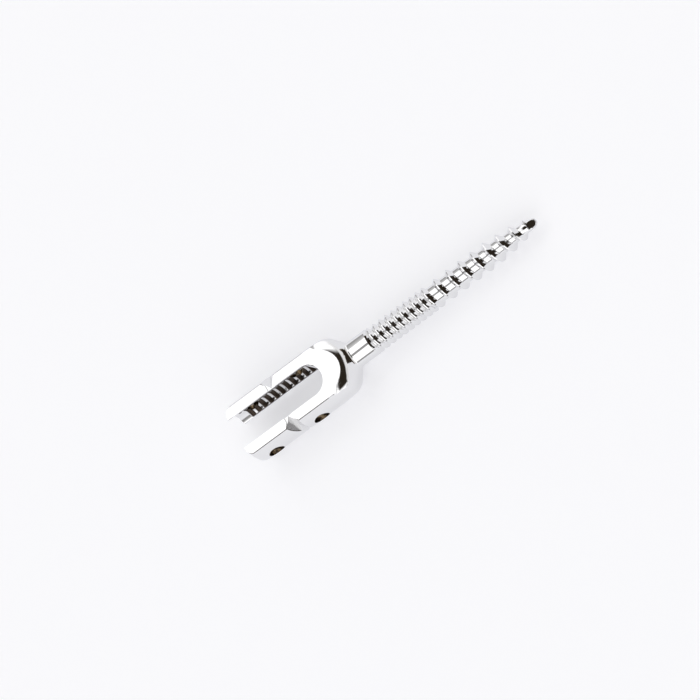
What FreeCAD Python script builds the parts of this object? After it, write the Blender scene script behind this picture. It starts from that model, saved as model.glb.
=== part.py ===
"""Monoaxial pedicle screw with long break-off arms, one solid, in millimetres.

The screw is built along X in its own turning frame: X = 0 lies just above the
break-off notch, the arms run to -X and the tip to +X. Z is square to the two
milled flats and Y crosses the rod slot. At the end it is laid down as it comes
to rest, on the crowned end of its lower flat and on the bone thread.
"""
import FreeCAD
import Part
import math
import os

V = FreeCAD.Vector

# Head: the turned blank
head_diameter = 12.8
arm_end = -11.7
arm_end_rounding = 1.3
head_taper_start = 9.0
head_taper = 4.0            # degrees to the axis
base_slope = 50.0           # degrees to the axis, under the head
base_slope_end = 15.55      # where the slope would meet the neck
base_rounding = 3.6
neck_diameter = 5.6
neck_rounding = 0.8
neck_start = 15.4           # past the crowned base

# Head: the two milled flats, crowned over the base about an upright axis
width_across_flats = 7.6
crown_place = 9.9           # X of the crown's axis
crown_flat_radius = 3.3     # flat as far as here from that axis
crown_rounding = 4.8
crown_reach = 50.0          # degrees of the rounding, past the blank
runout_start = 7.6          # where the arms' full flats begin to run out into the crown
runout_end = 11.2
base_start = 8.6            # the crowned base and the arms overlap from here to runout_end

# Rod slot, set-screw thread and side holes
slot_width = 6.4
slot_bottom = 9.3
thread_pitch = 1.5
thread_minor_diameter = 8.3
thread_major_diameter = 8.9
thread_root_width = 0.5
thread_flank = 45.0
thread_start = -10.15
thread_turns = 11
bore_end = 7.0
lead_in_diameter = 9.4
lead_in_length = 2.3
side_hole_diameter = 3.3
side_hole_places = (-7.6, 3.65)

# Break-off notch: a relief on each flat, a V across each corner, a fine turned groove
notch_place = -0.93
notch_relief_width = 1.83
notch_relief_depth = 0.25
notch_slope = 40.0          # of the V's valley, below the flat
notch_half_angle = 47.0
groove_place = 0.0
groove_depth = 0.5
groove_half_angle = 45.0

# Shank: neck, core and tip
core_start = 20.0
core_start_radius = 2.12
core_profile = ((36.9, 2.04), (46.8, 1.89), (50.8, 1.72), (53.9, 1.38), (56.7, 1.18), (59.2, 1.04))
tip_end = 60.7
tip_radius = 0.45
tip_facet_start = 58.5
tip_facet_start_height = 1.1
tip_facet_end_height = 0.2
tip_facet_angle = 109.3     # degrees from +Y towards +Z

# Bone thread: one start all the way, a second as far as the fine-pitched stretch runs
bone_thread_diameter = 5.5
bone_thread_lead = 3.0
crest_place = 37.14         # X of a crest at crest_angle
crest_angle = 19.3          # degrees from +Y towards +Z
turns_to_crest = 6          # from the thread's start to that crest
crest_width = 0.24
flank_head_side = 32.0
flank_tip_side = 27.0
first_start_turns = 10
first_root_radius = 1.7
second_start_end = 32.9
second_root_radius = 1.9
fading_turns = 2
fading_root_radius = 1.6
fading_crest_radius = 2.25
last_turns = 1
last_root_radius = 1.1
last_crest_radius = 1.6

# Where a crest touches the ground, under the axis
crest_contact = 48.23

head_radius = head_diameter / 2
neck_radius = neck_diameter / 2
flat_height = width_across_flats / 2
slot_half = slot_width / 2
slot_centre = slot_bottom - slot_half
crest_radius = bone_thread_diameter / 2
bone_thread_start = crest_place - turns_to_crest * bone_thread_lead
beyond = 2.0                # how far a cutter runs past the blank
overcut = 0.1               # how far a groove's cutter stands out of its surface


def tangent(degrees):
    return math.tan(math.radians(degrees))


def revolve(points):
    """Solid of revolution about X from (x, radius) points."""
    ring = [V(x, 0, r) for x, r in points]
    face = Part.Face(Part.makePolygon(ring + ring[:1]))
    return face.revolve(V(0, 0, 0), V(1, 0, 0), 360)


def prism(outline, direction):
    """Solid swept from a closed outline of points along a vector."""
    return Part.Face(Part.makePolygon(list(outline) + [outline[0]])).extrude(direction)


def box(x0, x1, y0, y1, z0, z1):
    return Part.makeBox(x1 - x0, y1 - y0, z1 - z0, V(x0, y0, z0))


def turned_about_axis(shape, degrees):
    copy = shape.copy()
    copy.rotate(V(0, 0, 0), V(1, 0, 0), degrees)
    return copy


def circular_edges(shape, place, radius):
    """Edges of a turned shape that lie on the circle at a place along X."""
    found = []
    for edge in shape.Edges:
        curve = edge.Curve
        if isinstance(curve, Part.Circle) and abs(curve.Radius - radius) < 1e-3:
            if abs(curve.Center.x - place) < 1e-3:
                found.append(edge)
    return found


def helical_sweep(section, lead, length, cone_angle=0.0):
    """Sweep a (radius, height) section right-handed about Z, widening by cone_angle."""
    helix = Part.makeHelix(lead, length, section[0][0], cone_angle)
    outline = [V(r, 0, height) for r, height in section]
    profile = Part.makePolygon(outline + outline[:1])
    return Part.Wire(helix.Edges).makePipeShell([profile], True, True)


def onto_axis(sweep, start, phase_angle):
    """Move a sweep about Z to the X axis, its angle 0 going to phase_angle from +Y."""
    sweep.rotate(V(0, 0, 0), V(1, 1, 1), 120)
    sweep.rotate(V(0, 0, 0), V(1, 0, 0), phase_angle)
    sweep.translate(V(start, 0, 0))
    return sweep


def turned_blank():
    """Head and neck before milling, up to the start of the bone thread."""
    slope = tangent(base_slope)
    taper = tangent(head_taper)
    # Where the head's taper meets the slope under it
    corner = (neck_radius + base_slope_end * slope - head_radius - head_taper_start * taper)
    corner = corner / (slope - taper)
    corner_radius = head_radius - (corner - head_taper_start) * taper
    blank = revolve([
        (arm_end, 0),
        (arm_end, head_radius),
        (head_taper_start, head_radius),
        (corner, corner_radius),
        (base_slope_end, neck_radius),
        (core_start, neck_radius),
        (core_start, 0),
    ])
    blank = blank.makeFillet(arm_end_rounding, circular_edges(blank, arm_end, head_radius))
    blank = blank.makeFillet(base_rounding, circular_edges(blank, corner, corner_radius))
    blank = blank.makeFillet(neck_rounding, circular_edges(blank, base_slope_end, neck_radius))
    return blank


def crown():
    """Flat disc about an upright axis whose rim sinks along an arc, above and below."""
    reach = math.radians(crown_reach)

    def rim_point(angle, side):
        out = crown_flat_radius + crown_rounding * math.sin(angle)
        drop = crown_rounding * (1 - math.cos(angle))
        return V(out, 0, side * (flat_height - drop))

    def rim(first, last, side):
        middle = rim_point((first + last) / 2, side)
        return Part.Arc(rim_point(first, side), middle, rim_point(last, side)).toShape()

    top = V(0, 0, flat_height)
    bottom = V(0, 0, -flat_height)
    outline = Part.Wire([
        Part.makeLine(top, rim_point(0, 1)),
        rim(0, reach, 1),
        Part.makeLine(rim_point(reach, 1), rim_point(reach, -1)),
        rim(reach, 0, -1),
        Part.makeLine(rim_point(0, -1), bottom),
        Part.makeLine(bottom, top),
    ])
    face = Part.Face(outline)
    solid = face.revolve(V(0, 0, 0), V(0, 0, 1), 360)
    solid.translate(V(crown_place, 0, 0))
    return solid


def with_flats(blank):
    """Mill both flats along the arms, and crown them over the base."""
    reach = head_radius + beyond
    neck = blank.common(box(neck_start, core_start, -reach, reach, -reach, reach))
    base = blank.common(box(base_start, neck_start, -reach, reach, -reach, reach))
    plan = [
        V(arm_end - beyond, -reach, -flat_height),
        V(runout_start, -reach, -flat_height),
        V(runout_end, -crown_flat_radius, -flat_height),
        V(runout_end, crown_flat_radius, -flat_height),
        V(runout_start, reach, -flat_height),
        V(arm_end - beyond, reach, -flat_height),
    ]
    arms = blank.common(prism(plan, V(0, 0, width_across_flats)))
    return base.common(crown()).fuse(arms).fuse(neck).removeSplitter()


def rod_slot():
    reach = head_radius + beyond
    channel = box(arm_end - beyond, slot_centre, -slot_half, slot_half, -reach, reach)
    bottom = Part.makeCylinder(slot_half, 2 * reach, V(slot_centre, 0, -reach), V(0, 0, 1))
    return channel.fuse(bottom)


def set_screw_bore():
    """Minor-diameter bore between the arms, with its plain lead-in."""
    start = arm_end - beyond
    bore = Part.makeCylinder(thread_minor_diameter / 2, bore_end - start, V(start, 0, 0), V(1, 0, 0))
    lead_in = Part.makeCylinder(
        lead_in_diameter / 2, arm_end + lead_in_length - start, V(start, 0, 0), V(1, 0, 0))
    return bore.fuse(lead_in)


def set_screw_thread():
    """The helical groove that the set screw runs in, as one cutter for each turn."""
    major = thread_major_diameter / 2
    inner = thread_minor_diameter / 2 - overcut
    root = thread_root_width / 2
    mouth = root + (major - inner) * tangent(thread_flank)
    section = [(major, -root), (major, root), (inner, mouth), (inner, -mouth)]
    turn = onto_axis(helical_sweep(section, thread_pitch, thread_pitch), thread_start, 0)
    cutters = []
    for number in range(thread_turns):
        cutter = turn.copy()
        cutter.translate(V(number * thread_pitch, 0, 0))
        cutters.append(cutter)
    return cutters


def side_holes():
    reach = head_radius + beyond
    return [
        Part.makeCylinder(side_hole_diameter / 2, 2 * reach, V(x, -reach, 0), V(0, 1, 0))
        for x in side_hole_places
    ]


def notch_cutters():
    """The break-off notch on both arms, front and back."""
    reach = head_radius + beyond
    half_width = notch_relief_width / 2
    floor = flat_height - notch_relief_depth
    relief = box(notch_place - half_width, notch_place + half_width, -reach, reach, floor, reach)
    # The V's valley starts at the slot's edge and sinks outwards across the corner
    slope = math.radians(notch_slope)
    along = V(0, math.cos(slope), -math.sin(slope))
    outward = V(0, math.sin(slope), math.cos(slope))
    valley = V(notch_place, slot_half, floor) - along
    opening = reach * tangent(notch_half_angle)
    corner_v = prism([
        valley,
        valley + outward * reach + V(opening, 0, 0),
        valley + outward * reach - V(opening, 0, 0),
    ], along * (2 * reach))
    mirrored = corner_v.mirror(V(0, 0, 0), V(0, 1, 0))
    cutters = []
    for tool in (relief, corner_v, mirrored):
        cutters += [tool, turned_about_axis(tool, 180)]
    valley_radius = head_radius - groove_depth
    depth = groove_depth + overcut
    opening = depth * tangent(groove_half_angle)
    cutters.append(revolve([
        (groove_place, valley_radius),
        (groove_place + opening, valley_radius + depth),
        (groove_place - opening, valley_radius + depth),
    ]))
    return cutters


def crest_section(root_radius, top_radius, flank_low, flank_high):
    """Bone-thread section from a root to its flat crest, flanks in degrees."""
    low = (top_radius - root_radius) * tangent(flank_low) + crest_width / 2
    high = (top_radius - root_radius) * tangent(flank_high) + crest_width / 2
    half_crest = crest_width / 2
    return [
        (top_radius, -half_crest),
        (top_radius, half_crest),
        (root_radius, high),
        (root_radius, -low),
    ]


def bone_thread_start_one():
    """First start, from inside the neck as far as the crest keeps its full height."""
    section = crest_section(first_root_radius, crest_radius, flank_head_side, flank_tip_side)
    length = first_start_turns * bone_thread_lead
    sweep = helical_sweep(section, bone_thread_lead, length)
    return onto_axis(sweep, bone_thread_start, crest_angle)


def bone_thread_start_two():
    """Second start, half a lead on, which runs out before the middle of the shank."""
    section = crest_section(second_root_radius, crest_radius, flank_head_side, flank_tip_side)
    start = bone_thread_start + bone_thread_lead / 2
    sweep = helical_sweep(section, bone_thread_lead, second_start_end - start)
    return onto_axis(sweep, start, crest_angle)


def fading_thread(turns_before, turns, root_radius, crest_from, crest_to):
    """A stretch of the first start on which crest and root sink along a cone."""
    length = turns * bone_thread_lead
    sunk = crest_from - crest_to
    cone_angle = math.degrees(math.atan2(sunk, length))
    # Swept widening from its small end, then turned over to narrow towards the tip
    section = crest_section(root_radius - sunk, crest_to, flank_tip_side, flank_head_side)
    sweep = helical_sweep(section, bone_thread_lead, length, cone_angle)
    sweep.rotate(V(0, 0, 0), V(1, 0, 0), 180)
    end = bone_thread_start + (turns_before + turns) * bone_thread_lead
    return onto_axis(sweep, end, crest_angle + 360 * (turns_before + turns))


def shank_core():
    """Core under the bone thread, from the neck to the tip."""
    step = neck_radius - core_start_radius
    ring = [(core_start, 0), (core_start, neck_radius), (core_start + step, core_start_radius)]
    ring += list(core_profile) + [(tip_end, tip_radius), (tip_end, 0)]
    return revolve(ring)


def tip_facet():
    """Cutter for the short flat ground on the tip."""
    run = tip_end - tip_facet_start
    drop = tip_facet_start_height - tip_facet_end_height
    reach = beyond * drop / run
    cutter = prism([
        V(tip_facet_start - beyond, -beyond, tip_facet_start_height + reach),
        V(tip_end + beyond, -beyond, tip_facet_end_height - reach),
        V(tip_end + beyond, -beyond, head_radius),
    ], V(0, 2 * beyond, 0))
    return turned_about_axis(cutter, tip_facet_angle - 90)


def shank():
    """Core, both starts of the bone thread, its fading end and the tip's facet."""
    fading = fading_thread(
        first_start_turns, fading_turns, fading_root_radius, crest_radius, fading_crest_radius)
    last = fading_thread(
        first_start_turns + fading_turns, last_turns, last_root_radius,
        fading_crest_radius, last_crest_radius)
    body = shank_core()
    for ridge in (fading, last, bone_thread_start_one(), bone_thread_start_two()):
        body = body.fuse(ridge)
    return body.cut(tip_facet())


def laid_down(screw):
    """Tip the screw onto its crowned base and its thread, and centre it on the ground."""
    rim_place = crown_place + crown_flat_radius
    rim_centre = crown_rounding - flat_height
    across = crest_radius + rim_centre
    along = crest_contact - rim_place
    tilt = math.asin(crown_rounding / math.hypot(across, along)) - math.atan2(across, along)
    screw.rotate(V(0, 0, 0), V(0, 1, 0), math.degrees(tilt))
    lift = crown_rounding - rim_centre * math.cos(tilt) + rim_place * math.sin(tilt)
    middle = (arm_end + tip_end) / 2
    screw.translate(V(-middle * math.cos(tilt), 0, lift))
    return screw


def main():
    os.makedirs("parts", exist_ok=True)
    head = with_flats(turned_blank())
    for cutter in [rod_slot(), set_screw_bore()] + set_screw_thread():
        head = head.cut(cutter)
    for cutter in side_holes() + notch_cutters():
        head = head.cut(cutter)
    screw = laid_down(head.fuse(shank()))
    screw.exportStep("parts/pedicle_screw.step")


main()
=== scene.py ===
import bmesh
import bpy
import math
from mathutils import Matrix, Vector


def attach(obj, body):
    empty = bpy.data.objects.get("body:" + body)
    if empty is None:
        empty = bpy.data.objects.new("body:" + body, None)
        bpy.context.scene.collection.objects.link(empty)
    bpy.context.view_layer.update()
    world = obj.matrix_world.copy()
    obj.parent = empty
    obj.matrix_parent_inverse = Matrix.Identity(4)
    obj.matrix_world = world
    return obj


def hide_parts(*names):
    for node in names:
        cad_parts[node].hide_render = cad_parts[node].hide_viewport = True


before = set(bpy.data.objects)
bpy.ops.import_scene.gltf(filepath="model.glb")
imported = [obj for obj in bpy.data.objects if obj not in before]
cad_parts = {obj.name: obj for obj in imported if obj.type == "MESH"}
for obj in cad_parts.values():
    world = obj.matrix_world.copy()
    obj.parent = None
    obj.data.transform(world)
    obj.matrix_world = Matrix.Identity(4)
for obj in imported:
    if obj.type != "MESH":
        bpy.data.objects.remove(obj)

bl_info = {
    "name": "Pedicle Screw Studio",
    "version": (1, 0, 0),
    "blender": (4, 5, 0),
    "location": "View3D > Sidebar > Pedicle Screw",
    "description": "Dresses and pictures a one-piece pedicle screw",
    "category": "Object",
}

MM = 0.001

# The screw's turning frame, in millimetres: X = 0 just above the break-off notch, Z square to the flats
FLAT_HEIGHT = 3.8
CREST_RADIUS = 2.75
CREST_CONTACT = 48.23
CROWN_RIM = 13.2
CROWN_ROUNDING = 4.8
ARM_END = -11.7
TIP_END = 60.7

# Where the neck ends and the wound shank begins, and the radii of its core and crests along it
NECK_END = 20.0
SHANK_END = 60.4
NECK_RADIUS = 2.8
CORE_PROFILE = ((20.0, 2.12), (36.9, 2.04), (46.8, 1.89), (50.8, 1.72), (53.9, 1.38), (56.7, 1.18),
                (59.2, 1.04), (59.9, 0.85), (60.25, 0.55), (60.4, 0.3))
FIRST_CREST = ((20.0, 2.75), (49.14, 2.75), (55.14, 2.25), (58.14, 1.6), (58.9, 0.9), (60.7, 0.2))
SECOND_CREST = ((20.0, 2.75), (34.3, 2.75), (34.9, 1.6), (60.7, 0.2))

# The first start's crest passes CREST_PLACE at CREST_ANGLE degrees, seven turns after the winding begins
THREAD_LEAD = 3.0
CREST_PLACE = 37.14
CREST_ANGLE = 19.3
TURNS_BEFORE_CREST = 7
WOUND_TURNS = 16
WOUND_START = CREST_PLACE - TURNS_BEFORE_CREST * THREAD_LEAD - THREAD_LEAD * CREST_ANGLE / 360

# The valley stops being level across near the tip, which has a short ground flat
LEVEL_VALLEY_END = (56.0, 58.5)
FOOT_ROUNDING = 0.06
TIP_FACET_ANGLE = math.radians(109.3)
TIP_FACET_REACH = (58.3, 60.7)
TIP_FACET_HEIGHTS = (0.86, 0.46)
TIP_RING = 0.1
ROWS_MERGE = 0.002
SMALLEST = 0.01

# How the CAD mesh is joined to the wound shank, and which edges stay sharp
CUT_MARGIN = 0.01
POINTS_MERGE = 0.0001
SHARP_ANGLE = math.radians(33)
FLAT_WITHIN = math.radians(0.2)
FLAT_FACING = 0.9999
FLAT_MARGIN = 0.01
EDGE_BREAK = 0.15
EDGE_BREAK_SEGMENTS = 3
SHADING_WEIGHT = 100

# Where shade is painted into the metal's colour: the set-screw thread's grooves and the side holes
GROOVE_DEPTHS = (4.17, 4.24)
GROOVE_LIMIT = 4.6
GROOVE_FACING = 0.15
SIDE_HOLES = (-7.6, 3.65)
SIDE_HOLE_REACH = 1.68

# The break-off notches' faces, and the broken outer edges of the flats, which get a dark line of painted
# reflection
NOTCH_REACH = (-2.8, 0.5)
NOTCH_ACROSS = 3.3
NOTCH_RADIUS = 6.3
NOTCH_FACING = 0.9
EDGE_ACROSS = 4.8
EDGE_REACH = 8.0
EDGE_FACING = 0.99
ARM_END_EDGES = 1.2

# The metal's cloudy pattern, per metre, and the parts of its range that are used
CLOUD_SCALE = 700.0
CLOUD_DETAIL = 3.0
POLISH_RANGE = (0.3, 0.7)
PATCH_RANGE = (0.47, 0.55)

# It lies on the crowned end of its lower flat and on its thread, as the CAD part does
RIM_CENTRE = CROWN_ROUNDING - FLAT_HEIGHT
REST_TILT = (math.asin(CROWN_ROUNDING / math.hypot(CREST_RADIUS + RIM_CENTRE, CREST_CONTACT - CROWN_RIM))
             - math.atan2(CREST_RADIUS + RIM_CENTRE, CREST_CONTACT - CROWN_RIM))
LIFT = CROWN_ROUNDING - RIM_CENTRE * math.cos(REST_TILT) + CROWN_RIM * math.sin(REST_TILT)
MIDDLE = (ARM_END + TIP_END) / 2 * math.cos(REST_TILT)
AXIS = Vector((math.cos(REST_TILT), 0.0, -math.sin(REST_TILT)))
NORMAL = Vector((math.sin(REST_TILT), 0.0, math.cos(REST_TILT)))
SIDEWAYS = Vector((0.0, 1.0, 0.0))
ORIGIN = Vector((-MIDDLE, 0.0, LIFT)) * MM

# Tones of the studio along the screw, from -1 behind the arms to 1 beyond the tip
ALONG_TONES = (
    (-1.0, 0.25), (-0.85, 0.35), (-0.6, 0.9), (-0.4, 1.0), (0.1, 0.9), (0.22, 0.6), (0.56, 0.6),
    (0.66, (0.2, 0.17, 0.14)), (0.76, 0.0), (1.0, 0.0))
# Tones round the screw, in degrees from straight up, positive towards -Y
ROUND_TONES = (
    (-180.0, 0.7), (-122.0, 0.7), (-100.0, 0.55), (-97.0, 0.2), (-85.0, 0.22), (-60.0, 0.36),
    (-47.0, 0.5), (-43.0, 1.0), (1.0, 1.0), (4.0, 0.22), (18.0, 0.22), (22.0, 1.0),
    (74.0, 1.0), (78.0, 0.2), (92.0, 0.2), (96.0, 0.85), (180.0, 0.85))
# A panel ahead covers the tones round the screw, and a dark strip hangs overhead, square to it
AHEAD_REACH = ((-1.0, 0.0), (-0.26, 0.0), (-0.2, 1.0), (1.0, 1.0))
AHEAD_TONE = 0.9
STRIP_ALONG = ((-1.0, 0.0), (-0.2, 0.0), (-0.165, 1.0), (0.18, 1.0), (0.23, 0.0), (1.0, 0.0))
STRIP_ROUND = ((-180.0, 0.0), (-34.0, 0.0), (-24.0, 1.0), (25.0, 1.0), (32.0, 0.0), (180.0, 0.0))
GAP_LIGHT = (0.018, 0.014, 0.010)

# The camera's place seen from the screw (along, across, up), and what it aims at, in metres
VIEW_DIRECTION = (0.2980, -0.3135, 0.9023)
AIM_RIGHT = 0.01115
AIM_UP = 0.00978
SENSOR_WIDTH = 36.0
FAR_CLIP = 20.0


class ScrewMetalSettings(bpy.types.PropertyGroup):
    """Finish of the polished titanium, and the dark shade painted into its grooves, holes and broken
    edges.
    """
    colour: bpy.props.FloatVectorProperty(
        name="Metal colour", description="Tint of the polished metal's reflections",
        subtype="COLOR", size=3, min=0.0, max=1.0, default=(0.80, 0.80, 0.81))
    roughness: bpy.props.FloatProperty(
        name="Roughness", description="How blurred the reflections are", min=0.0, max=1.0, default=0.06)
    # Painted shade: the dark colour put into the grooves, holes and broken edges
    painted_shade_colour: bpy.props.FloatVectorProperty(
        name="Painted shade colour", description="Shade painted into the grooves and holes",
        subtype="COLOR", size=3, min=0.0, max=1.0, default=(0.06, 0.045, 0.035))
    # Paler patches at random in the painted shade of the holes
    painted_shade_patches: bpy.props.FloatVectorProperty(
        name="Painted shade patches", description="Tint of the paler patches there",
        subtype="COLOR", size=3, min=0.0, max=1.0, default=(0.60, 0.51, 0.39))
    machined_roughness: bpy.props.FloatProperty(
        name="Machined roughness", description="Extra blur there", min=0.0, max=1.0, default=0.15)
    notch_roughness: bpy.props.FloatProperty(
        name="Notch roughness", description="Extra blur of the milled break-off notches",
        min=0.0, max=1.0, default=0.16)


class BoneThreadSettings(bpy.types.PropertyGroup):
    """Shape of the bone thread's ridge, along the screw from the middle of its crest."""
    crest_width: bpy.props.FloatProperty(
        name="Crest width", description="Flat top of the ridge", unit="LENGTH", default=0.2 * MM)
    tip_flank: bpy.props.FloatProperty(
        name="Tip flank", description="Lean of the flank that faces the tip",
        subtype="ANGLE", default=math.radians(42.5))
    head_flank: bpy.props.FloatProperty(
        name="Head flank", description="Lean of the flank that faces the head",
        subtype="ANGLE", default=math.radians(40.0))
    lead: bpy.props.FloatProperty(
        name="Lead", description="Advance of a ridge in one turn", unit="LENGTH",
        default=THREAD_LEAD * MM)
    steps_round: bpy.props.IntProperty(
        name="Steps round", description="Faces round the shank", default=72)
    steps_along: bpy.props.IntProperty(
        name="Steps along", description="Faces along one lead", default=60)


class StudioSettings(bpy.types.PropertyGroup):
    """Floor, light and camera."""
    floor_colour: bpy.props.FloatVectorProperty(
        name="Floor colour", description="Colour of the pale ground",
        subtype="COLOR", size=3, min=0.0, max=1.0, default=(0.60, 0.605, 0.61))
    floor_size: bpy.props.FloatProperty(
        name="Floor size", description="Side of the square floor", unit="LENGTH", default=8.0)
    floor_roughness: bpy.props.FloatProperty(
        name="Floor roughness", description="How matt the ground is", min=0.0, max=1.0, default=0.8)
    glow_colour: bpy.props.FloatVectorProperty(
        name="Glow colour", description="Tint of the white that the camera sees on the ground",
        subtype="COLOR", size=3, min=0.0, max=1.0, default=(0.955, 0.955, 1.0))
    floor_glow: bpy.props.FloatProperty(
        name="Floor glow", description="Strength of that white on top of the lit ground", default=0.5)
    light_level: bpy.props.FloatProperty(
        name="Light level", description="Brightness of the studio's white panels", default=1.5)
    camera_distance: bpy.props.FloatProperty(
        name="Camera distance", description="From the screw to the camera",
        unit="LENGTH", default=1.5)
    view_width: bpy.props.FloatProperty(
        name="View width", description="Width of the picture at the screw",
        unit="LENGTH", default=0.13369)
    axis_angle: bpy.props.FloatProperty(
        name="Axis angle", description="Rise of the screw's axis in the picture",
        subtype="ANGLE", default=math.radians(36.5))


def new_material(name):
    material = bpy.data.materials.new(name)
    material.use_nodes = True
    material.node_tree.nodes.clear()
    return material


def math_node(tree, operation, first, second=None, third=None, clamp=False):
    """A Math node; each input is a socket or a number."""
    node = tree.nodes.new("ShaderNodeMath")
    node.operation = operation
    node.use_clamp = clamp
    for index, value in enumerate((first, second, third)):
        if value is None:
            continue
        if isinstance(value, bpy.types.NodeSocket):
            tree.links.new(value, node.inputs[index])
        else:
            node.inputs[index].default_value = value
    return node.outputs[0]


def ramp(tree, value, stops):
    """A Color Ramp over (place, tone) stops; a tone is a grey or a colour."""
    node = tree.nodes.new("ShaderNodeValToRGB")
    elements = node.color_ramp.elements
    while len(elements) < len(stops):
        elements.new(0.5)
    for element, (place, tone) in zip(elements, stops):
        element.position = place
    for element, (place, tone) in zip(elements, stops):
        colour = tone if isinstance(tone, tuple) else (tone, tone, tone)
        element.color = (*colour, 1.0)
    tree.links.new(value, node.inputs[0])
    return node.outputs[0]


def screw_place_group():
    """Node group: where a point lies on the screw, in millimetres, and where its face looks."""
    tree = bpy.data.node_groups.new("screw_place", "ShaderNodeTree")
    for name in ("Along", "Across", "Up", "Radius", "Inwards", "Facing up"):
        tree.interface.new_socket(name, in_out="OUTPUT", socket_type="NodeSocketFloat")
    output = tree.nodes.new("NodeGroupOutput")
    coordinates = tree.nodes.new("ShaderNodeTexCoord")
    surface = tree.nodes.new("ShaderNodeNewGeometry")
    moved = tree.nodes.new("ShaderNodeVectorMath")
    moved.operation = "SUBTRACT"
    tree.links.new(coordinates.outputs["Object"], moved.inputs[0])
    moved.inputs[1].default_value = ORIGIN

    def component(vector, direction):
        node = tree.nodes.new("ShaderNodeVectorMath")
        node.operation = "DOT_PRODUCT"
        tree.links.new(vector, node.inputs[0])
        node.inputs[1].default_value = direction
        return node.outputs["Value"]

    along, across, up = (component(moved.outputs[0], axis / MM) for axis in (AXIS, SIDEWAYS, NORMAL))
    radius = math_node(tree, "SQRT", math_node(
        tree, "MULTIPLY_ADD", across, across, math_node(tree, "MULTIPLY", up, up)))
    faced_across, faced_up = (component(surface.outputs["Normal"], axis) for axis in (SIDEWAYS, NORMAL))
    outwards = math_node(
        tree, "MULTIPLY_ADD", across, faced_across, math_node(tree, "MULTIPLY", up, faced_up))
    inwards = math_node(tree, "MULTIPLY", math_node(
        tree, "DIVIDE", outwards, math_node(tree, "MAXIMUM", radius, SMALLEST)), -1)
    facing = math_node(tree, "ABSOLUTE", faced_up)
    for value, socket in zip((along, across, up, radius, inwards, facing), output.inputs):
        tree.links.new(value, socket)
    return tree


def mixed_colour(tree, factor, first, second):
    """Colour from first to second by a 0 to 1 factor; each is a socket or a colour."""
    node = tree.nodes.new("ShaderNodeMix")
    node.data_type = "RGBA"
    tree.links.new(factor, node.inputs["Factor"])
    for colour, socket in ((first, node.inputs[6]), (second, node.inputs[7])):
        if isinstance(colour, bpy.types.NodeSocket):
            tree.links.new(colour, socket)
        else:
            socket.default_value = (*colour, 1.0)
    return node.outputs[2]


def product(tree, *factors):
    total = factors[0]
    for factor in factors[1:]:
        total = math_node(tree, "MULTIPLY", total, factor)
    return total


def above(tree, value, limit):
    return math_node(tree, "GREATER_THAN", value, limit)


def below(tree, value, limit):
    return math_node(tree, "LESS_THAN", value, limit)


def notch_mask(tree, place):
    """1 on the faces of the break-off notches."""
    return product(
        tree, above(tree, place["Along"], NOTCH_REACH[0]), below(tree, place["Along"], NOTCH_REACH[1]),
        above(tree, math_node(tree, "ABSOLUTE", place["Across"]), NOTCH_ACROSS),
        below(tree, place["Radius"], NOTCH_RADIUS), below(tree, place["Facing up"], NOTCH_FACING))


def painted_edge_shade_mask(tree, place):
    """1 on the broken outer edges of the flats, where a dark line of painted reflection is put."""
    side = above(tree, math_node(tree, "ABSOLUTE", place["Across"]), EDGE_ACROSS)
    end = below(tree, place["Along"], ARM_END + ARM_END_EDGES)
    return product(
        tree, above(tree, math_node(tree, "ABSOLUTE", place["Up"]), FLAT_HEIGHT - EDGE_BREAK),
        below(tree, place["Facing up"], EDGE_FACING), math_node(tree, "MAXIMUM", side, end),
        below(tree, place["Along"], EDGE_REACH))


def hole_mask(tree, place):
    """1 in the side holes, where shade is painted."""
    masks = []
    for hole in SIDE_HOLES:
        off = math_node(tree, "SUBTRACT", place["Along"], hole)
        reach = math_node(tree, "SQRT", math_node(
            tree, "MULTIPLY_ADD", off, off, product(tree, place["Up"], place["Up"])))
        masks.append(below(tree, reach, SIDE_HOLE_REACH))
    return math_node(tree, "MAXIMUM", *masks)


def groove_mask(tree, place):
    """1 on the set-screw thread's grooves, where shade is painted."""
    return product(
        tree, spread(tree, place["Radius"], *GROOVE_DEPTHS),
        above(tree, place["Inwards"], GROOVE_FACING), below(tree, place["Radius"], GROOVE_LIMIT))


def polished_metal(name, settings):
    material = new_material(name)
    tree = material.node_tree
    output = tree.nodes.new("ShaderNodeOutputMaterial")
    shader = tree.nodes.new("ShaderNodeBsdfPrincipled")
    shader.inputs["Metallic"].default_value = 1.0
    group = tree.nodes.new("ShaderNodeGroup")
    group.node_tree = screw_place_group()
    place = group.outputs
    coordinates = tree.nodes.new("ShaderNodeTexCoord")
    clouds = tree.nodes.new("ShaderNodeTexNoise")
    tree.links.new(coordinates.outputs["Object"], clouds.inputs["Vector"])
    clouds.inputs["Scale"].default_value = CLOUD_SCALE
    clouds.inputs["Detail"].default_value = CLOUD_DETAIL
    # Painted shade: the grooves, the holes and the broken edges get a dark colour, and more blur
    holes = hole_mask(tree, place)
    painted_shade = math_node(tree, "MAXIMUM", math_node(
        tree, "MAXIMUM", groove_mask(tree, place), holes), painted_edge_shade_mask(tree, place))
    # Paler patches at random break up the painted shade in the holes
    patches = product(tree, spread(tree, clouds.outputs["Fac"], *PATCH_RANGE), holes)
    painted_shade_colour = mixed_colour(tree, patches, settings.painted_shade_colour, settings.painted_shade_patches)
    colour = mixed_colour(tree, painted_shade, settings.colour, painted_shade_colour)
    tree.links.new(colour, shader.inputs["Base Color"])
    polish = spread(tree, clouds.outputs["Fac"], *POLISH_RANGE)
    rough = math_node(tree, "MULTIPLY_ADD", polish, settings.roughness, settings.roughness / 2)
    rough = math_node(tree, "MULTIPLY_ADD", painted_shade, settings.machined_roughness, rough)
    rough = math_node(tree, "MULTIPLY_ADD", notch_mask(tree, place), settings.notch_roughness, rough)
    tree.links.new(rough, shader.inputs["Roughness"])
    tree.links.new(shader.outputs[0], output.inputs[0])
    return material


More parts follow.
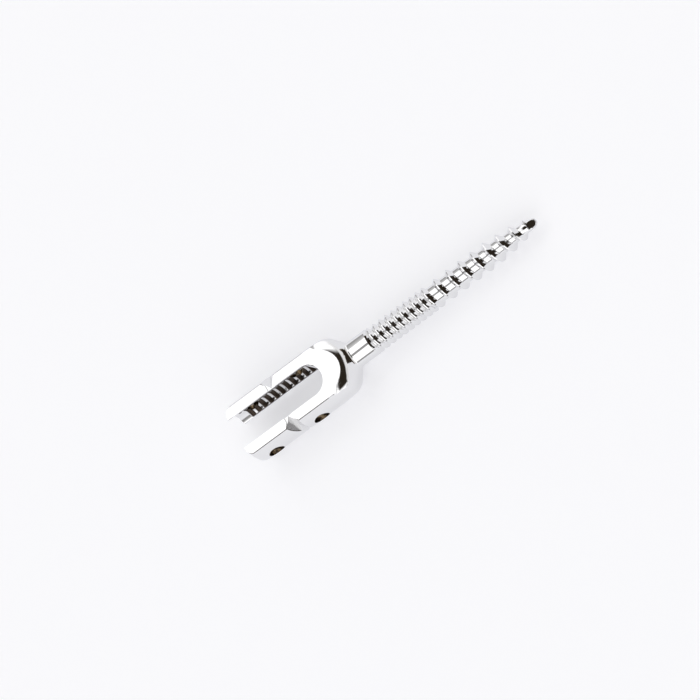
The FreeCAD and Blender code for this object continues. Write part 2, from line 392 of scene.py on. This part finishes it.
def curve_node(tree, value, points):
    """A Float Curve of straight stretches over (place, height) points."""
    node = tree.nodes.new("ShaderNodeFloatCurve")
    curve = node.mapping.curves[0]
    while len(curve.points) < len(points):
        curve.points.new(0.5, 0.5)
    for point, place in zip(curve.points, points):
        point.location = place
        point.handle_type = "VECTOR"
    node.mapping.update()
    tree.links.new(value, node.inputs["Value"])
    return node.outputs[0]


def spread(tree, value, low, high):
    """Value from low to high as 0 to 1."""
    node = tree.nodes.new("ShaderNodeMapRange")
    tree.links.new(value, node.inputs["Value"])
    node.inputs["From Min"].default_value = low
    node.inputs["From Max"].default_value = high
    return node.outputs[0]


def scaled(tree, vector, factor):
    """A fixed vector times a value."""
    node = tree.nodes.new("ShaderNodeVectorMath")
    node.operation = "SCALE"
    node.inputs[0].default_value = vector
    tree.links.new(factor, node.inputs["Scale"])
    return node.outputs[0]


def summed(tree, *vectors):
    total = vectors[0]
    for vector in vectors[1:]:
        node = tree.nodes.new("ShaderNodeVectorMath")
        tree.links.new(total, node.inputs[0])
        if isinstance(vector, bpy.types.NodeSocket):
            tree.links.new(vector, node.inputs[1])
        else:
            node.inputs[1].default_value = vector
        total = node.outputs[0]
    return total


def over_profile(tree, place, profile):
    """Radius by place along the screw, through (place, radius) points in millimetres."""
    start, end = profile[0][0], profile[-1][0]
    widest = max(radius for along, radius in profile)
    points = [((along - start) / (end - start), radius / widest) for along, radius in profile]
    height = curve_node(tree, spread(tree, place, start, end), points)
    return math_node(tree, "MULTIPLY", height, widest)


def bone_thread_tree(material):
    """A band one lead wide, wound round the shank; its rows are the thread's profile."""
    tree = bpy.data.node_groups.new("bone_thread", "GeometryNodeTree")
    tree.is_modifier = True
    for name in ("Lead", "Crest width", "Tip flank", "Head flank"):
        tree.interface.new_socket(name, in_out="INPUT", socket_type="NodeSocketFloat")
    for name in ("Steps round", "Steps along"):
        tree.interface.new_socket(name, in_out="INPUT", socket_type="NodeSocketInt")
    tree.interface.new_socket("Geometry", in_out="OUTPUT", socket_type="NodeSocketGeometry")
    inputs = tree.nodes.new("NodeGroupInput")
    lead, crest, tip_flank, head_flank, round_steps, along_steps = inputs.outputs[:6]

    grid = tree.nodes.new("GeometryNodeMeshGrid")
    spiral_steps = math_node(tree, "MULTIPLY", round_steps, WOUND_TURNS)
    tree.links.new(spiral_steps, grid.inputs["Size X"])
    tree.links.new(along_steps, grid.inputs["Size Y"])
    tree.links.new(math_node(tree, "ADD", spiral_steps, 1), grid.inputs["Vertices X"])
    tree.links.new(math_node(tree, "ADD", along_steps, 1), grid.inputs["Vertices Y"])
    place = tree.nodes.new("GeometryNodeInputPosition")
    split = tree.nodes.new("ShaderNodeSeparateXYZ")
    tree.links.new(place.outputs[0], split.inputs[0])
    # Turns wound so far, and the share of a lead across the band
    turns = math_node(
        tree, "ADD", math_node(tree, "DIVIDE", split.outputs[0], round_steps), WOUND_TURNS / 2)
    share = math_node(tree, "ADD", math_node(tree, "DIVIDE", split.outputs[1], along_steps), 0.5)
    angle = math_node(tree, "MULTIPLY", turns, math.tau)
    along = math_node(tree, "MULTIPLY_ADD", math_node(tree, "ADD", turns, share), lead, WOUND_START)
    held = math_node(tree, "MINIMUM", math_node(tree, "MAXIMUM", along, NECK_END), SHANK_END)

    def ridge(centre_share, crest_radius):
        """Radius of a ridge's flat crest and of its two straight flanks."""
        turned = math_node(tree, "ADD", math_node(tree, "SUBTRACT", share, centre_share), 0.5)
        offset = math_node(tree, "SUBTRACT", math_node(tree, "FRACT", turned), 0.5)
        distance = math_node(tree, "MULTIPLY", offset, lead)
        half_crest = math_node(tree, "DIVIDE", crest, 2)
        past_crest = math_node(tree, "MAXIMUM", math_node(
            tree, "SUBTRACT", math_node(tree, "ABSOLUTE", distance), half_crest), 0)
        ahead = above(tree, distance, 0)
        picked = tree.nodes.new("ShaderNodeMix")
        tree.links.new(ahead, picked.inputs["Factor"])
        tree.links.new(head_flank, picked.inputs["A"])
        tree.links.new(tip_flank, picked.inputs["B"])
        slope = math_node(tree, "TANGENT", picked.outputs["Result"])
        fall = math_node(tree, "DIVIDE", past_crest, slope)
        return math_node(tree, "SUBTRACT", crest_radius, fall)

    # The valley is cut by a tool that follows the helix, so it is level across and steps under the crest
    valley = math_node(tree, "MULTIPLY_ADD", math_node(tree, "ADD", turns, 0.5), lead, WOUND_START)
    near_tip = spread(tree, held, *LEVEL_VALLEY_END)
    level = tree.nodes.new("ShaderNodeMix")
    tree.links.new(near_tip, level.inputs["Factor"])
    tree.links.new(valley, level.inputs["A"])
    tree.links.new(held, level.inputs["B"])
    cone = math_node(tree, "SUBTRACT", NECK_END + NECK_RADIUS, held)
    core = math_node(tree, "MAXIMUM", over_profile(tree, level.outputs["Result"], CORE_PROFILE), cone)

    # Each start's crest fades towards the tip
    first = ridge(0.0, over_profile(tree, held, FIRST_CREST))
    second = ridge(0.5, over_profile(tree, held, SECOND_CREST))
    radius = core
    for start in (first, second):
        radius = math_node(tree, "SMOOTH_MAX", radius, start, FOOT_ROUNDING)

    # The short flat ground on the tip, and the closed end
    towards = math_node(tree, "COSINE", math_node(tree, "SUBTRACT", angle, TIP_FACET_ANGLE))
    height = math_node(tree, "MULTIPLY_ADD", spread(tree, held, *TIP_FACET_REACH),
                       TIP_FACET_HEIGHTS[1] - TIP_FACET_HEIGHTS[0], TIP_FACET_HEIGHTS[0])
    facet = math_node(tree, "DIVIDE", height, math_node(tree, "MAXIMUM", towards, SMALLEST))
    before = below(tree, held, TIP_FACET_REACH[0])
    facet = math_node(tree, "MULTIPLY_ADD", before, CREST_RADIUS, facet)
    radius = math_node(tree, "MINIMUM", radius, facet)
    shut = below(tree, along, SHANK_END + TIP_RING)
    radius = math_node(tree, "MULTIPLY", radius, shut)

    move = tree.nodes.new("GeometryNodeSetPosition")
    across = math_node(tree, "MULTIPLY", radius, math_node(tree, "COSINE", angle))
    up = math_node(tree, "MULTIPLY", radius, math_node(tree, "SINE", angle))
    spot = summed(
        tree, scaled(tree, AXIS * MM, held), scaled(tree, SIDEWAYS * MM, across),
        scaled(tree, NORMAL * MM, up), ORIGIN)
    tree.links.new(grid.outputs["Mesh"], move.inputs["Geometry"])
    tree.links.new(spot, move.inputs["Position"])
    merge = tree.nodes.new("GeometryNodeMergeByDistance")
    merge.inputs["Distance"].default_value = ROWS_MERGE * MM
    tree.links.new(move.outputs[0], merge.inputs["Geometry"])
    realize = tree.nodes.new("GeometryNodeRealizeInstances")
    tree.links.new(merge.outputs[0], realize.inputs[0])
    painted = tree.nodes.new("GeometryNodeSetMaterial")
    tree.links.new(realize.outputs[0], painted.inputs["Geometry"])
    painted.inputs["Material"].default_value = material
    output = tree.nodes.new("NodeGroupOutput")
    tree.links.new(painted.outputs[0], output.inputs[0])
    return tree


def wound_shank(material, settings):
    """The shank and its bone thread as a plain mesh, open where it meets the neck."""
    seed = bpy.data.objects.new("shank", bpy.data.meshes.new("shank"))
    bpy.context.scene.collection.objects.link(seed)
    modifier = seed.modifiers.new("bone thread", "NODES")
    modifier.node_group = bone_thread_tree(material)
    values = {"Lead": settings.lead / MM, "Crest width": settings.crest_width / MM,
              "Tip flank": settings.tip_flank, "Head flank": settings.head_flank,
              "Steps round": settings.steps_round, "Steps along": settings.steps_along}
    for item in modifier.node_group.interface.items_tree:
        if item.in_out == "INPUT":
            modifier[item.identifier] = values[item.name]
    graph = bpy.context.evaluated_depsgraph_get()
    mesh = bpy.data.meshes.new_from_object(seed.evaluated_get(graph))
    seed.modifiers.remove(modifier)
    bpy.data.objects.remove(seed)
    return mesh


def joined_screw(node, shank, name):
    """Head and neck from the CAD node, bridged to the wound shank in one closed mesh."""
    work = bmesh.new()
    work.from_mesh(node.data)
    bmesh.ops.remove_doubles(work, verts=work.verts, dist=POINTS_MERGE * MM)

    def along(vert):
        return (vert.co - ORIGIN).dot(AXIS) / MM

    cut = [face for face in work.faces
           if min(along(vert) for vert in face.verts) > NECK_END - CUT_MARGIN]
    bmesh.ops.delete(work, geom=cut, context="FACES")
    # Each flat becomes one face again, so that its outline can be broken a little
    bmesh.ops.dissolve_limit(
        work, angle_limit=FLAT_WITHIN, verts=work.verts, edges=work.edges, delimit={"NORMAL"})

    def on_flat(face):
        level = abs((face.calc_center_median() - ORIGIN).dot(NORMAL)) / MM
        return abs(face.normal.dot(NORMAL)) > FLAT_FACING and abs(level - FLAT_HEIGHT) < FLAT_MARGIN

    outlines = [edge for edge in work.edges
                if not edge.is_boundary and edge.calc_face_angle(0.0) > SHARP_ANGLE
                and any(on_flat(face) for face in edge.link_faces)]
    bmesh.ops.bevel(
        work, geom=outlines, offset=EDGE_BREAK * MM, offset_type="OFFSET",
        segments=EDGE_BREAK_SEGMENTS, profile=0.5, affect="EDGES", clamp_overlap=True)
    work.from_mesh(shank)
    rings = [edge for edge in work.edges if edge.is_boundary]
    bmesh.ops.bridge_loops(work, edges=rings)
    bmesh.ops.recalc_face_normals(work, faces=work.faces)
    for face in work.faces:
        face.smooth = True
        face.material_index = 0
    for edge in work.edges:
        edge.smooth = edge.calc_face_angle(0.0) < SHARP_ANGLE
    mesh = bpy.data.meshes.new(name)
    work.to_mesh(mesh)
    open_edges = sum(1 for edge in work.edges if not edge.is_manifold)
    work.free()
    if open_edges:
        raise RuntimeError("the screw's mesh has %d open edges" % open_edges)
    screw = bpy.data.objects.new(name, mesh)
    bpy.context.scene.collection.objects.link(screw)
    weighted = screw.modifiers.new("even shading", "WEIGHTED_NORMAL")
    weighted.mode = "FACE_AREA"
    weighted.weight = SHADING_WEIGHT
    weighted.keep_sharp = True
    return screw


class SCREW_OT_metal(bpy.types.Operator):
    """Wind the bone thread and give the screw its polished metal"""
    bl_idname = "screw.metal"
    bl_label = "Make the Screw"

    def execute(self, context):
        material = polished_metal("polished_titanium", context.scene.screw_metal)
        shank = wound_shank(material, context.scene.screw_thread)
        screw = joined_screw(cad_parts["pedicle_screw"], shank, "polished_screw")
        screw.data.materials.append(material)
        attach(screw, "root")
        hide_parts("pedicle_screw")
        return {"FINISHED"}


def tone_by_place(tree, value, stops):
    """Tone by a value of any range, through (value, tone) stops."""
    low = stops[0][0]
    high = stops[-1][0]
    place = math_node(tree, "MULTIPLY_ADD", value, 1 / (high - low), -low / (high - low))
    return ramp(tree, place, [((at - low) / (high - low), tone) for at, tone in stops])


def studio_world(context, level):
    """World of broad white panels and dark gaps between them, by direction from the screw."""
    world = bpy.data.worlds.new("studio")
    context.scene.world = world
    world.use_nodes = True
    tree = world.node_tree
    tree.nodes.clear()
    output = tree.nodes.new("ShaderNodeOutputWorld")
    background = tree.nodes.new("ShaderNodeBackground")
    coordinates = tree.nodes.new("ShaderNodeTexCoord")
    split = tree.nodes.new("ShaderNodeSeparateXYZ")
    tree.links.new(coordinates.outputs["Generated"], split.inputs[0])
    along, across, up = split.outputs
    along_tone = tone_by_place(tree, along, ALONG_TONES)
    angle = math_node(tree, "ARCTAN2", math_node(tree, "MULTIPLY", across, -1.0), up)
    degrees = math_node(tree, "DEGREES", angle)
    ahead = tone_by_place(tree, along, AHEAD_REACH)
    round_tone = math_node(tree, "MAXIMUM", tone_by_place(tree, degrees, ROUND_TONES), math_node(
        tree, "MULTIPLY", ahead, AHEAD_TONE))
    strip = product(
        tree, tone_by_place(tree, along, STRIP_ALONG), tone_by_place(tree, degrees, STRIP_ROUND))
    tone = math_node(tree, "MULTIPLY", round_tone, math_node(tree, "MULTIPLY_ADD", strip, -1.0, 1.0))
    lit = mixed_colour(tree, tone, (0.0, 0.0, 0.0), along_tone)
    tree.links.new(summed(tree, lit, GAP_LIGHT), background.inputs["Color"])
    background.inputs["Strength"].default_value = level
    # The camera sees plain white beyond the floor
    plain = tree.nodes.new("ShaderNodeBackground")
    mix = tree.nodes.new("ShaderNodeMixShader")
    rays = tree.nodes.new("ShaderNodeLightPath")
    tree.links.new(rays.outputs["Is Camera Ray"], mix.inputs[0])
    tree.links.new(background.outputs[0], mix.inputs[1])
    tree.links.new(plain.outputs[0], mix.inputs[2])
    plain.inputs["Color"].default_value = (1.0, 1.0, 1.0, 1.0)
    tree.links.new(mix.outputs[0], output.inputs[0])


def floor_piece(settings):
    half = settings.floor_size / 2
    mesh = bpy.data.meshes.new("floor")
    corners = [(-half, -half, 0), (half, -half, 0), (half, half, 0), (-half, half, 0)]
    mesh.from_pydata(corners, [], [(0, 1, 2, 3)])
    floor = bpy.data.objects.new("floor", mesh)
    bpy.context.scene.collection.objects.link(floor)
    material = new_material("floor")
    tree = material.node_tree
    output = tree.nodes.new("ShaderNodeOutputMaterial")
    shader = tree.nodes.new("ShaderNodeBsdfPrincipled")
    shader.inputs["Base Color"].default_value = (*settings.floor_colour, 1.0)
    shader.inputs["Roughness"].default_value = settings.floor_roughness
    # The camera and the metal see a ground that is whiter than its light makes it, with its shadow
    rays = tree.nodes.new("ShaderNodeLightPath")
    seen = math_node(tree, "MAXIMUM", rays.outputs["Is Camera Ray"], rays.outputs["Is Glossy Ray"])
    shader.inputs["Emission Color"].default_value = (*settings.glow_colour, 1.0)
    glow = math_node(tree, "MULTIPLY", seen, settings.floor_glow)
    tree.links.new(glow, shader.inputs["Emission Strength"])
    tree.links.new(shader.outputs[0], output.inputs[0])
    mesh.materials.append(material)


def picture_camera(context, settings):
    data = bpy.data.cameras.new("camera")
    camera = bpy.data.objects.new("camera", data)
    context.scene.collection.objects.link(camera)
    towards = sum((axis * share for axis, share in zip((AXIS, SIDEWAYS, NORMAL), VIEW_DIRECTION)),
                  Vector((0.0, 0.0, 0.0))).normalized()
    rise = (AXIS - towards * AXIS.dot(towards)).normalized()
    aside = towards.cross(rise)
    angle = settings.axis_angle
    right = rise * math.cos(angle) - aside * math.sin(angle)
    up = rise * math.sin(angle) + aside * math.cos(angle)
    aim = ORIGIN + right * AIM_RIGHT + up * AIM_UP
    turn = Matrix((right, up, towards)).transposed().to_4x4()
    camera.matrix_world = Matrix.Translation(aim + towards * settings.camera_distance) @ turn
    data.sensor_width = SENSOR_WIDTH
    data.lens = data.sensor_width * settings.camera_distance / settings.view_width
    data.clip_end = FAR_CLIP
    context.scene.camera = camera


class SCREW_OT_studio(bpy.types.Operator):
    """Set the floor, light and camera"""
    bl_idname = "screw.studio"
    bl_label = "Set the Studio"

    def execute(self, context):
        settings = context.scene.screw_studio
        studio_world(context, settings.light_level)
        floor_piece(settings)
        picture_camera(context, settings)
        context.scene.view_settings.view_transform = "Standard"
        return {"FINISHED"}


class SCREW_PT_panel(bpy.types.Panel):
    """Lists the screw's settings and steps"""
    bl_idname = "SCREW_PT_panel"
    bl_label = "Pedicle Screw"
    bl_space_type = "VIEW_3D"
    bl_region_type = "UI"
    bl_category = "Pedicle Screw"

    def draw(self, context):
        layout = self.layout
        scene = context.scene
        groups = (
            ((scene.screw_thread, scene.screw_metal), "screw.metal"),
            ((scene.screw_studio,), "screw.studio"),
        )
        for settings, operator in groups:
            for group in settings:
                for name in group.__annotations__:
                    layout.prop(group, name)
            layout.operator(operator)


CLASSES = (ScrewMetalSettings, BoneThreadSettings, StudioSettings,
           SCREW_OT_metal, SCREW_OT_studio, SCREW_PT_panel)


def register():
    for cls in CLASSES:
        bpy.utils.register_class(cls)
    bpy.types.Scene.screw_metal = bpy.props.PointerProperty(type=ScrewMetalSettings)
    bpy.types.Scene.screw_thread = bpy.props.PointerProperty(type=BoneThreadSettings)
    bpy.types.Scene.screw_studio = bpy.props.PointerProperty(type=StudioSettings)


def unregister():
    del bpy.types.Scene.screw_studio
    del bpy.types.Scene.screw_thread
    del bpy.types.Scene.screw_metal
    for cls in reversed(CLASSES):
        bpy.utils.unregister_class(cls)


def main():
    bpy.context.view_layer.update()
    register()
    bpy.ops.screw.metal()
    bpy.ops.screw.studio()


if __name__ == "__main__":
    main()
